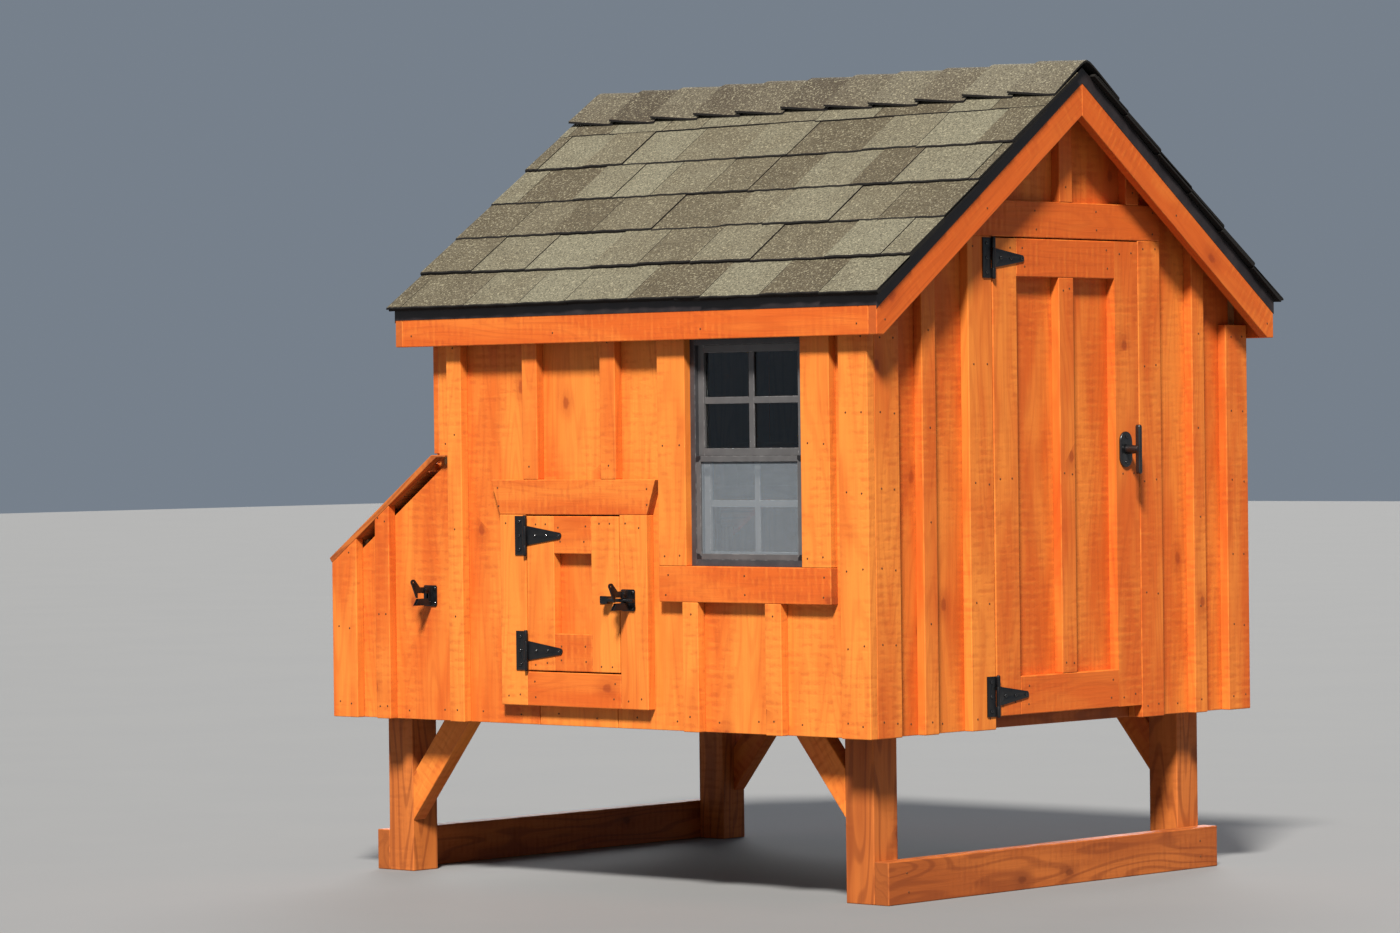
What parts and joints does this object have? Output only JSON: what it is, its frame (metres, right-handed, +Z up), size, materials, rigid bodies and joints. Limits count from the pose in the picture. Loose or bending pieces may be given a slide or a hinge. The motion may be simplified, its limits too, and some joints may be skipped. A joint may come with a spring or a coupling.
{
  "type": "raised chicken coop",
  "caption": "Raised board-and-batten chicken coop with a gable shingle roof, hinged service door, latching pop door, sliding sash window and a lift-lid nest box.",
  "frame": {"origin": "middle of the bounding box, on the ground", "axes": "+Z up, +X towards the service door in the gable, -Y towards the window and the pop door"},
  "size_m": [1.645, 1.4111, 1.7506],
  "materials": {
    "stained_boards": "rough-sawn, orange cedar stain",
    "raw_timber": "plain sawn timber",
    "plywood": "sheet",
    "brown_metal": "satin",
    "felt": "matt",
    "shingle": "mineral granules",
    "bronze_frame": "dark bronze coat",
    "glass": "clear",
    "screen": "woven mesh",
    "black_iron": "black coat"
  },
  "bodies": {
    "coop": {"legs": "stained_boards", "runners": "stained_boards", "leg_braces": "stained_boards", "floor_frame": "stained_boards", "floor_deck": "plywood", "wall_frame": "raw_timber", "front_siding": "stained_boards", "rear_siding": "stained_boards", "door_wall_siding": "stained_boards", "nest_wall_siding": "stained_boards", "battens": "stained_boards", "corner_boards": "stained_boards", "rafters": "raw_timber", "roof_deck": "plywood", "fascia_boards": "stained_boards", "rake_boards": "stained_boards", "drip_edges": "brown_metal", "underlayment": "felt", "shingles_front": "shingle", "shingles_rear": "shingle", "ridge_caps": "shingle", "service_trim": "stained_boards", "pop_trim": "stained_boards", "window_trim": "stained_boards", "window_frame": "bronze_frame", "upper_sash": "bronze_frame", "upper_glass": "glass", "screen_frame": "bronze_frame", "screen_cloth": "screen", "hinge_plates": "black_iron", "pins": "black_iron", "latch_pins": "black_iron", "latch_bodies": "black_iron", "nest_frame": "raw_timber", "nest_boards": "stained_boards", "nest_trim": "stained_boards", "nest_dividers": "plywood", "lid_ledger": "stained_boards", "house_screws": "black_iron", "latch_screws": "black_iron", "roosts": "raw_timber"},
    "service_door": {"service_door_boards": "stained_boards", "service_door_frame": "stained_boards", "handle_rose": "black_iron", "service_hinge_straps": "black_iron", "service_door_screws": "black_iron"},
    "handle": {"door_handle": "black_iron", "handle_cam": "black_iron"},
    "pop_door": {"pop_door_board": "stained_boards", "pop_door_frame": "stained_boards", "pop_hinge_straps": "black_iron", "strike_bar": "black_iron", "pop_door_screws": "black_iron"},
    "latch_dog": {"pop_latch_dog": "black_iron"},
    "hold_dog": {"hold_open_dog": "black_iron"},
    "lower_sash": {"lower_sash": "bronze_frame", "lower_glass": "glass"},
    "lid": {"nest_lid": "stained_boards", "lid_hinge_leaves": "black_iron", "lid_screws": "black_iron"}
  },
  "joints": [
    {"name": "service_door_swing", "type": "hinge", "parent": "coop", "child": "service_door", "pos_m": [0.7615, -0.2435, 0.345], "axis": [0, 0, -1], "range_deg": [0, 140]},
    {"name": "handle_turn", "type": "hinge", "parent": "service_door", "child": "handle", "pos_m": [0.7565, 0.203, 0.922], "axis": [1, 0, 0], "range_deg": [0, 90]},
    {"name": "pop_door_swing", "type": "hinge", "parent": "coop", "child": "pop_door", "pos_m": [-0.208, -0.6525, 0.463], "axis": [0, 0, -1], "range_deg": [0, 176.5]},
    {"name": "latch_dog_lift", "type": "hinge", "parent": "coop", "child": "latch_dog", "pos_m": [0.0905, -0.664, 0.631], "axis": [-1, 0, 0], "range_deg": [0, 70]},
    {"name": "hold_dog_lift", "type": "hinge", "parent": "coop", "child": "hold_dog", "pos_m": [-0.524, -0.642, 0.631], "axis": [-1, 0, 0], "range_deg": [0, 70]},
    {"name": "lower_sash_slide", "type": "slide", "parent": "coop", "child": "lower_sash", "axis": [0, 0, 1], "range_m": [0, 0.19]},
    {"name": "lid_lift", "type": "hinge", "parent": "coop", "child": "lid", "pos_m": [-0.5355, 0, 0.90483], "axis": [0, 1, 0], "range_deg": [0, 100]}
  ]
}
